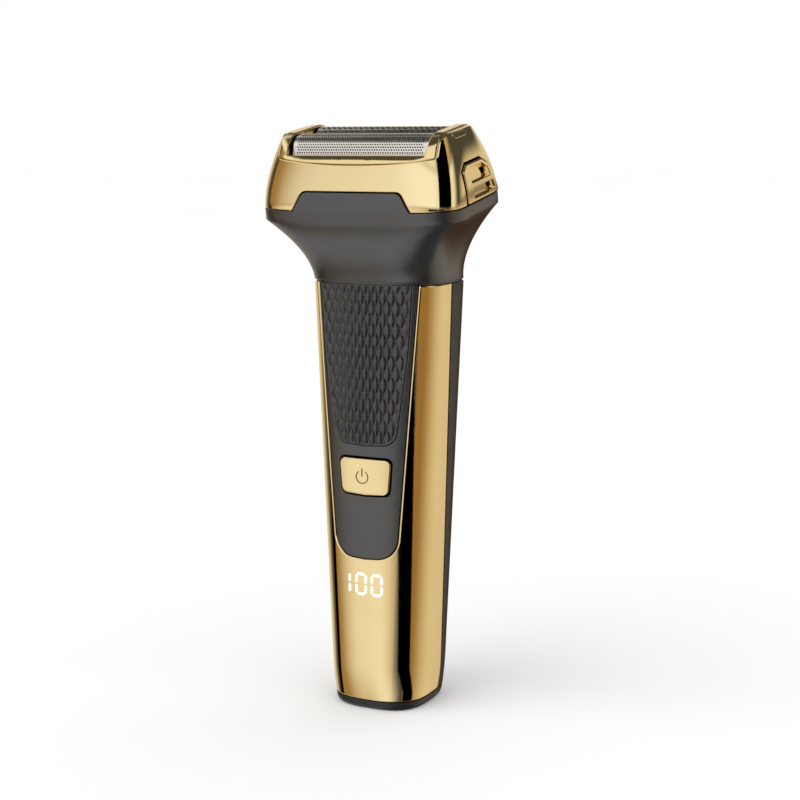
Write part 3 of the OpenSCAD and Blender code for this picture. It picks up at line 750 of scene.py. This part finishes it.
def head_neck():
    """The flared neck, the rim band and the tab on its front as one smooth skin."""
    period = TAU * HEAD_R
    theta = np.linspace(-math.pi, math.pi, 240, endpoint=False)
    low = ring_loop(theta, -RIM_H)
    tab = on_front(head_oval, HEAD_R, subdivided(tab_half(0, -0.15), 0.6, closed=False))
    left = tab[-2::-1] * [-1, 1]
    turn = np.vstack([tab, left])
    far = np.linspace(tab[0, 0], period - tab[0, 0], 170)[1:-1]
    top = np.vstack([turn, np.stack([-far, np.full(len(far), -0.15)], 1)])
    band = plate(head_skin, low, [top], [(0, 0), (0, -NECK_WALL)],
                 round_edge(0.25, NECK_WALL), spacing=0.9, period=period, open_rim=True)
    turn_matrix, shift = head_place()
    placed = (band[0] @ turn_matrix.T + shift, band[1])
    steps = np.linspace(1, 0.012, 44)
    outer = [neck_ring(theta, u, 0) for u in steps]
    foot = [neck_ring(theta, u, i) for u, i in ((0.006, 0.05), (0.002, 0.14), (0, 0.3))]
    collar = [neck_ring(theta, 0, i) - [0, 0, drop] for i, drop in COLLAR]
    inner = [neck_ring(theta, u, NECK_WALL) for u in np.linspace(0, 1, 24)]
    flare = rings_mesh(outer + foot + collar + inner)
    flare = (flare[0], [tuple(reversed(f)) for f in flare[1]])
    return piece("neck_skin", ["head_neck"], GREY, [placed, flare], weld=True, sharp=50)


def arch_z(y, inset=0.35):
    """Height of the cassette's side-view arch over depth y."""
    r = ARCH_R - inset
    d = np.clip((np.abs(y) - ARCH_Y) / r, 0, 0.999)
    return CASSETTE_H - ARCH_R + r * np.sqrt(1 - d**2)


def lip_z(x):
    """Height of the shroud's front lip, lowest in the middle."""
    return 11.75 + 1.15 * (x / 21.3) ** 2


def cheek_top(count):
    """The shroud's edge over its right cheek, where the head's outline meets the arch."""
    theta = np.linspace(0.72, math.pi - 0.72, 400)
    z = np.full(400, 14.0)
    for _ in range(40):
        x, y = oval_point(theta, *head_oval(z))
        z = mix(z, arch_z(y), 0.5)
    x, y = oval_point(theta, *head_oval(z))
    keep = x > SHROUD_X
    pick = np.linspace(0, keep.sum() - 1, count).astype(int)
    return np.stack([HEAD_R * theta[keep], z[keep]], 1)[pick]


RELEASE = [(-8.2, 0.2), (-8.2, 8.6), (-5.9, 10.2), (3.9, 10.2), (7.8, 8.2), (10.2, 5.2), (13, 0.2)]
RELEASE_GAP = 0.5
UPPER_WINDOW = [(-4.9, 5.2), (-4.9, 8.3), (-4, 9.1), (3.9, 9.1), (6.6, 7.7), (8, 5.2)]
LOWER_WINDOW = [(-4.3, 1.1), (-4.3, 3.8), (8.9, 3.8), (10.2, 1.1)]


def release_path(grow):
    """The release button's side view, (y, z), open along its bottom."""
    g = grow
    spread = [(-g, -g), (-g, 0.4 * g), (-0.4 * g, g), (0.4 * g, g), (0.7 * g, 0.7 * g), (g, 0.4 * g),
              (g, -g)]
    return [(y + dy, z + dz) for (y, z), (dy, dz) in zip(RELEASE, spread)]


def head_shroud():
    """The gold shroud: a ring whose top edge dips to the lip and rises over both cheeks."""
    period = TAU * HEAD_R
    tab = on_front(head_oval, HEAD_R, subdivided(tab_half(0.3, 0), 0.6, closed=False))[::-1]
    button = release_path(RELEASE_GAP)
    button[0], button[-1] = (button[0][0], 0), (button[-1][0], 0)
    button = rounded(button, [0, 0.5, 0.5, 0.5, 0.5, 0.5, 0], steps=3)
    button = on_side(head_oval, HEAD_R, subdivided(button, 0.7, closed=False))
    before = np.stack([np.linspace(tab[-1, 0], button[0, 0], 16)[1:-1], np.zeros(14)], 1)
    after = np.stack([np.linspace(button[-1, 0], math.pi * HEAD_R, 24)[1:], np.zeros(23)], 1)
    right = np.vstack([tab, before, button, after])
    low = np.vstack([right, (right[-2:0:-1] * [-1, 1] + [period, 0])])
    cheek = cheek_top(70)
    x = np.linspace(0, SHROUD_X, 34)[:-1]
    front = on_front(head_oval, HEAD_R, np.stack([x, lip_z(x) - 0.1], 1))
    back = front[::-1] * [-1, 1] + [math.pi * HEAD_R, 0]

    def rise(start, stop):
        z = np.linspace(start, stop, 8)[1:-1]
        return on_front(head_oval, HEAD_R, np.stack([np.full(len(z), SHROUD_X), z], 1))

    up = rise(lip_z(SHROUD_X) - 0.1, cheek[0, 1])
    down = rise(lip_z(SHROUD_X) - 0.1, cheek[-1, 1])[::-1] * [-1, 1] + [math.pi * HEAD_R, 0]
    half = np.vstack([front, up, cheek, down, back])
    top = np.vstack([half, half[-2:0:-1] * [-1, 1] + [period, 0]])
    body = plate(head_skin, low, [top[::-1]], round_edge(0.3, HEAD_WALL), spacing=0.9, period=period)
    return piece("shroud_skin", ["head_shroud"], GOLD, [body], place=head_place())


def arch_profile():
    """The frame's side view from its front lip over the arch to its rear lip: (s, y, z)."""
    turns = np.radians(np.linspace(154, 90, 18))
    front = [(-15.6, 10.4), (-15.6, 12.5)]
    front += [(-ARCH_Y + ARCH_R * math.cos(a), CASSETTE_H - ARCH_R + ARCH_R * math.sin(a)) for a in turns]
    front = rounded(front, [0, 0.9] + [0] * len(turns), steps=8)
    path = subdivided(np.vstack([front, front[::-1] * [-1, 1]]), 0.25, closed=False)
    s = np.concatenate([[0], np.cumsum(np.linalg.norm(np.diff(path, axis=0), axis=1))])
    return s - s[-1] / 2, path[:, 0], path[:, 1]


ARCH_S, ARCH_PY, ARCH_PZ = arch_profile()


EASE = 0.6


def frame_skin(uv, h):
    """(x, way along the arch), drawn in to the head's own outline near its corners."""
    x, s = uv.T
    y, z = np.interp(s, ARCH_S, ARCH_PY), np.interp(s, ARCH_S, ARCH_PZ)
    e = 0.15
    ny = -(np.interp(s + e, ARCH_S, ARCH_PZ) - np.interp(s - e, ARCH_S, ARCH_PZ))
    nz = np.interp(s + e, ARCH_S, ARCH_PY) - np.interp(s - e, ARCH_S, ARCH_PY)
    size = np.sqrt(ny**2 + nz**2)
    a, b, n = head_oval(z, 0.2)
    limit = b * np.maximum(1 - (np.abs(x) / a) ** n, 0.02) ** (1 / n)
    near = np.maximum(EASE - np.abs(np.abs(y) - limit), 0) / EASE
    both = np.minimum(np.abs(y), limit) - near**2 * EASE / 4
    return np.stack([x, np.sign(y) * both + h * ny / size, z + h * nz / size], 1)


TONGUE = [(-5.4, 16.9), (0.6, 16.9), (2.2, 18.3), (-6.8, 18.3)]


def foil_frame():
    """The frame over the foils, with a small tongue on each cheek."""
    x = np.linspace(-BAND_X, BAND_X, 64)
    half = len(ARCH_S) // 2
    lower = np.interp(lip_z(x), ARCH_PZ[:half], ARCH_S[:half])
    outline = np.vstack([np.stack([x, lower], 1), np.stack([x[::-1], -lower[::-1]], 1)])
    corners = np.zeros(len(outline))
    corners[[0, 63, 64, 127]] = 1.1
    outline = subdivided(rounded([tuple(p) for p in outline], widened(corners, outline), steps=6), 0.8)
    lip = float(np.interp(LIP_TOP, ARCH_PZ[:half], ARCH_S[:half]))
    opening = rounded([(-WELL_X, lip), (WELL_X, lip), (WELL_X, -lip), (-WELL_X, -lip)], [0.5] * 4, steps=4)
    opening = subdivided(opening, 0.8)

    def inwards(points):
        out = points.copy()
        out[:, 1] = np.clip(out[:, 1], -WELL_Y, WELL_Y)
        return out

    def downwards(points):
        out = points.copy()
        out[:, 2] = FOIL_SKIRT_Z
        return out

    body = plate(frame_skin, outline, [opening], round_edge(0.35, 1.4), round_edge(0.3, 0.45),
                 spacing=0.8, sink=[inwards, downwards])
    tongues = []
    for side in (1, -1):
        tongue = rounded(TONGUE, [0.5, 0.5, 0.4, 0.4], steps=4)
        loop = on_side(head_oval, HEAD_R, subdivided(tongue, 0.6)) * [side, 1]
        tongues.append(plate(head_skin, loop, edge=round_edge(0.15, 0.7), spacing=0.7, lift=0.22))
    return piece("foil_frame_skin", ["foil_frame"], GOLD, [body] + tongues, place=head_place())


def widened(radii, outline):
    """Corner radii, kept under half of the shorter edge that meets there."""
    before = np.linalg.norm(outline - np.roll(outline, 1, 0), axis=1)
    after = np.linalg.norm(outline - np.roll(outline, -1, 0), axis=1)
    return [float(min(r, 0.7 * min(b, a))) for r, b, a in zip(radii, before, after)]


def release(side, node):
    """A raised B-shaped button frame with two sunken windows."""
    shape = rounded(release_path(0), [0.5, 0.7, 0.9, 0.9, 0.9, 0.9, 0.5], steps=4)
    windows = [rounded(w, [0.5] * len(w), steps=3) for w in (UPPER_WINDOW, LOWER_WINDOW)]

    def laid(path):
        return on_side(head_oval, HEAD_R, subdivided(path, 0.5)) * [side, 1]

    bezel = plate(head_skin, laid(shape), [laid(w) for w in windows], round_edge(0.32, 1.8),
                  round_edge(0.2, 1.75), spacing=0.6, lift=0.3)
    wells = [plate(head_skin, moved_in(turned(laid(w), 1), -0.4, None), edge=round_edge(0.1, 0.7),
                   spacing=0.6, lift=-1.2) for w in windows]
    return piece(node + "_button", [node], GOLD, [bezel] + wells, place=head_place())


# ---------- foils ----------


def foil_skin(side):
    quarter = FOIL_R * math.pi / 2

    def skin(uv, h):
        x, s = uv.T
        a = np.clip(s / FOIL_R, -math.pi / 2, math.pi / 2)
        drop = np.maximum(np.abs(s) - quarter, 0)
        r = FOIL_R + h
        return np.stack([x, side * FOIL_Y + r * np.sin(a), FOIL_Z + r * np.cos(a) - drop], 1)

    return skin


def round_hole(size):
    a = np.radians(np.arange(8) * 45 - 135)
    return np.stack([np.cos(a), np.sin(a)], 1) * size


def three_sided_hole(size, up):
    """Eight points spread over a triangle's sides."""
    corner = np.array([(-1, -0.62), (0.0, -0.62), (1, -0.62), (0.62, 0.0), (0.22, 0.62),
                       (0, 0.75), (-0.22, 0.62), (-0.62, 0.0)])
    if up > 0:
        return corner * size
    return (corner * [size[0], -size[1]])[[6, 5, 4, 3, 2, 1, 0, 7]]


def perforated(side, columns, rows, hole, plain):
    """A foil as rows of cells, each with its own hole; the ends and the skirts stay plain."""
    skin = foil_skin(side)
    whole = FOIL_R * math.pi + 2 * (FOIL_Z - FOIL_SKIRT_Z)
    dx, ds = 2 * FOIL_HALF_L / columns, whole / rows
    points, height, faces = [], [], []

    def add(uv, h):
        points.extend(uv)
        height.extend([h] * len(uv))
        return len(points) - len(uv)

    for row in range(rows):
        s = -whole / 2 + (row + 0.5) * ds
        starts = np.arange(columns) * dx if row % 2 == 0 else np.arange(-0.5, columns) * dx
        for k, start in enumerate(starts - FOIL_HALF_L):
            x0, x1 = max(start, -FOIL_HALF_L), min(start + dx, FOIL_HALF_L)
            xm, s0, s1 = (x0 + x1) / 2, s - ds / 2, s + ds / 2
            short = x1 - x0 < 0.75 * dx
            rim = [(x0, s0), (xm, s0), (x1, s0), (x1, s), (x1, s1), (xm, s1), (x0, s1), (x0, s)]
            if short:
                rim = [rim[i] for i in (0, 2, 3, 4, 6, 7)]
            n = len(rim)
            for h, way in ((0, 1), (-FOIL_T, -1)):
                a = add(rim, h)
                if short or abs(xm) > FOIL_HALF_L - plain or abs(s) > FOIL_R * math.pi / 2:
                    b = add([(xm, s)], h)
                    faces += [(a + i, a + (i + 1) % n, b)[::way] for i in range(n)]
                    continue
                b = add(hole(row + k) + [xm, s], h)
                faces += [(a + i, a + (i + 1) % n, b + (i + 1) % n, b + i)[::way] for i in range(n)]
                if way > 0:
                    upper = b
                else:
                    faces += [(upper + i, upper + (i + 1) % n, b + (i + 1) % n, b + i) for i in range(n)]
    return skin(np.array(points, float), np.array(height)), faces


def foils():
    """Fine round holes in front and coarse three-sided ones behind."""
    fine = perforated(-1, 56, 34, lambda k: round_hole(0.24), FOIL_PLAIN)
    coarse = perforated(1, 24, 22, lambda k: three_sided_hole((0.52, 0.55), 1 if k % 2 else -1), FOIL_PLAIN)
    for name, sheet in (("front_foil", fine), ("rear_foil", coarse)):
        piece(name + "_sheet", [name], FOIL, [sheet], place=head_place(), weld=True, sharp=50)


# ---------- what stays as CAD made it ----------

INSIDE = {
    INNER: ["led_display", "chassis", "socket_plate", "head_deck", "top_plate", "front_foil_saddles",
            "rear_foil_saddles"],
    BOARD: ["circuit_board"],
    CELL: ["battery_cell"],
    STEEL: ["battery_tabs", "motor_can", "motor_screws", "charge_socket", "top_plate_screws", "motor_shaft",
            "crank_pin", "deck_screws", "guide_rods", "front_spring", "rear_spring", "tact_switch",
            "centre_bar"],
    SEAL: ["shaft_seal"],
    WHITE: ["crank_disc", "oscillator_yoke", "front_cutter_carrier", "rear_cutter_carrier"],
    BLADE: ["front_cutter_blades", "rear_cutter_blades"],
}


def dress_cad():
    """Materials of the CAD nodes that no piece replaces."""
    for material, names in INSIDE.items():
        for name in names:
            mesh = frame["nodes"][name].data
            mesh.materials.clear()
            mesh.materials.append(material)


# ---------- studio ----------

SKY_STRENGTH = 2.5
SURROUND = 0.08
BACKDROP = 1.0
SOFT_FILL = 0.74
TENT_FADE = 0.05
# A leaning panel's turn per unit of height counts from LEAN_FROM and stays the same outside LEAN_RANGE.
LEAN_FROM = -0.3
LEAN_RANGE = (-0.5, -0.2)
# Soft screens and black flags hung round the object, each over the ones before it: (angle of its middle
# in degrees from the front, turning towards +X, width, softness), (lowest and highest direction, from -1
# straight down to 1 straight up), lean in degrees, brightness.
TENT = {
    "low screen": ((-65, 90, 20), (-1.1, -0.55), 0, 1.0),
    "rear left screen": ((-140, 70, 15), (-0.75, 0.5), 0, 0.8),
    "front screen": ((-30, 85, 2), (-0.75, 0), 0, 0.4),
    "front light": ((-20, 50, 25), (-0.75, 0), 80, 1.0),
    "side screen": ((110, 120, 4), (-0.75, 0), 0, 0.35),
    "side light": ((145, 76, 38), (-0.75, 0), 0, 0.8),
    "rear flag": ((180, 30, 3), (-0.75, 0), 0, 0.1),
    "left flag": ((-80, 14, 2), (-0.75, 0), 0, 0),
    "leaning flag": ((40, 42, 1), (-0.75, 0), 165, 0),
    "head screen": ((-25, 110, 2), (0, 0.5), 0, 0.4),
    "head light": ((0, 80, 30), (0, 0.5), 0, 1.1),
    "head side light": ((90, 30, 12), (0, 0.5), 0, 1.0),
    "edge light": ((160, 60, 10), (0.05, 0.25), 0, 0.8),
    "overhead light": ((-50, 160, 15), (0.5, 0.82), 0, 1.0),
    "overhead side light": ((80, 40, 12), (0.5, 0.9), 0, 0.6),
    "head flag": ((55, 52, 1), (0, 0.8), 0, 0),
}


def screen(level):
    """A screen's light: the dimmer, the warmer."""
    return tuple(power / SKY_STRENGTH for power in (level, level**1.5, level**2.5))


def calculated(nodes, links, operation, *values):
    """A Math node; each value is an output or a fixed number."""
    node = nodes.new("ShaderNodeMath")
    node.operation = operation
    for socket, value in zip(node.inputs, values):
        if isinstance(value, (int, float)):
            socket.default_value = value
        else:
            links.new(value, socket)
    return node.outputs[0]


def within(nodes, links, value, middle, width, softness):
    """1 inside the span, 0 outside it."""
    node = nodes.new("ShaderNodeMapRange")
    node.interpolation_type = "SMOOTHSTEP"
    node.inputs["From Min"].default_value = width / 2 + softness
    node.inputs["From Max"].default_value = width / 2 - softness
    away = calculated(nodes, links, "SUBTRACT", value, middle)
    away = calculated(nodes, links, "WRAP", away, math.pi, -math.pi)
    links.new(calculated(nodes, links, "ABSOLUTE", away), node.inputs["Value"])
    return node.outputs["Result"]


def covered(nodes, links, share, under, colour):
    """The colour laid over what is under it; either is an output or a fixed colour."""
    node = nodes.new("ShaderNodeMix")
    node.data_type = "RGBA"
    links.new(share, node.inputs["Factor"])
    for socket, value in (("A", under), ("B", colour)):
        if isinstance(value, tuple):
            node.inputs[socket].default_value = (*value, 1)
        else:
            links.new(value, node.inputs[socket])
    return node.outputs["Result"]


def studio_world():
    """The tent, as reflections see it; the camera sees a plain white, and matt surfaces an even light."""
    world = bpy.data.worlds.new("light_tent")
    bpy.context.scene.world = world
    world.use_nodes = True
    nodes, links = world.node_tree.nodes, world.node_tree.links
    background = nodes["Background"]
    background.inputs["Strength"].default_value = SKY_STRENGTH
    where = nodes.new("ShaderNodeTexCoord")
    split = nodes.new("ShaderNodeSeparateXYZ")
    links.new(where.outputs["Generated"], split.inputs["Vector"])
    z = split.outputs["Z"]
    ahead = calculated(nodes, links, "MULTIPLY", split.outputs["Y"], -1)
    angle = calculated(nodes, links, "ARCTAN2", split.outputs["X"], ahead)
    low, high = LEAN_RANGE
    height = calculated(nodes, links, "MINIMUM", calculated(nodes, links, "MAXIMUM", z, low), high)
    height = calculated(nodes, links, "SUBTRACT", height, LEAN_FROM)
    colour = (SURROUND / SKY_STRENGTH,) * 3
    for (middle, width, softness), (bottom, top), lean, level in TENT.values():
        turn = calculated(nodes, links, "MULTIPLY_ADD", height, math.radians(lean), angle)
        across = within(nodes, links, turn, *map(math.radians, (middle, width, softness)))
        upright = within(nodes, links, z, (bottom + top) / 2, top - bottom, TENT_FADE)
        share = calculated(nodes, links, "MULTIPLY", across, upright)
        colour = covered(nodes, links, share, colour, screen(level))
    rays = nodes.new("ShaderNodeLightPath")
    for ray, level in (("Is Diffuse Ray", SOFT_FILL), ("Is Camera Ray", BACKDROP)):
        colour = covered(nodes, links, rays.outputs[ray], colour, (level / SKY_STRENGTH,) * 3)
    links.new(colour, background.inputs["Color"])


# From where each lamp shines, its spread in degrees and its power
LAMPS = {
    "key": ((-0.6, -0.9, 1.3), 50, 1.15),
    "fill": ((1.0, -0.4, 0.9), 60, 0.42),
    "back": ((0.2, 1.0, 1.2), 60, 0.42),
}


def studio_floor():
    bm = bmesh.new()
    bmesh.ops.create_circle(bm, cap_ends=True, segments=96, radius=8)
    mesh = bpy.data.meshes.new("studio_floor")
    bm.to_mesh(mesh)
    bm.free()
    floor = bpy.data.objects.new("studio_floor", mesh)
    bpy.context.scene.collection.objects.link(floor)
    material, shader = principled("pale_paper", Roughness=0.9, Metallic=0.0)
    tinted(material, shader, (0.86, 0.86, 0.86), (0.88, 0.88, 0.88), 3)
    mesh.materials.append(material)
    floor.visible_glossy = False


def studio():
    studio_world()
    studio_floor()
    for name, (place, spread, power) in LAMPS.items():
        light = bpy.data.lights.new(name, "SUN")
        light.energy = power
        light.angle = math.radians(spread)
        lamp = bpy.data.objects.new(name, light)
        lamp.rotation_mode = "QUATERNION"
        lamp.rotation_quaternion = (-Vector(place)).to_track_quat("-Z", "Y")
        lamp.visible_glossy = False
        bpy.context.scene.collection.objects.link(lamp)
    bpy.context.scene.view_settings.view_transform = "Standard"


def camera():
    """The photograph's viewing angle."""
    azimuth, elevation, distance = math.radians(26), math.radians(9), 0.453
    right = Vector((math.cos(azimuth), math.sin(azimuth), 0))
    back = Vector((math.sin(azimuth) * math.cos(elevation), -math.cos(azimuth) * math.cos(elevation),
                   math.sin(elevation)))
    up = back.cross(right)
    aim = Vector((0, 0, 0.080)) + right * 0.0029 + up * 0.005
    data = bpy.data.cameras.new("camera")
    data.lens = 73.1
    data.sensor_width = 36
    cam = bpy.data.objects.new("camera", data)
    cam.location = aim + back * distance
    cam.rotation_mode = "QUATERNION"
    cam.rotation_quaternion = (-back).to_track_quat("-Z", "Y")
    bpy.context.scene.collection.objects.link(cam)
    bpy.context.scene.camera = cam


camera()
studio()
dress_cad()
front_shell()
rear_shell()
control_panel()
grip_pad()
display_digits()
power_button()
base_cap()
head_neck()
head_shroud()
foil_frame()
release(1, "release_right")
release(-1, "release_left")
foils()
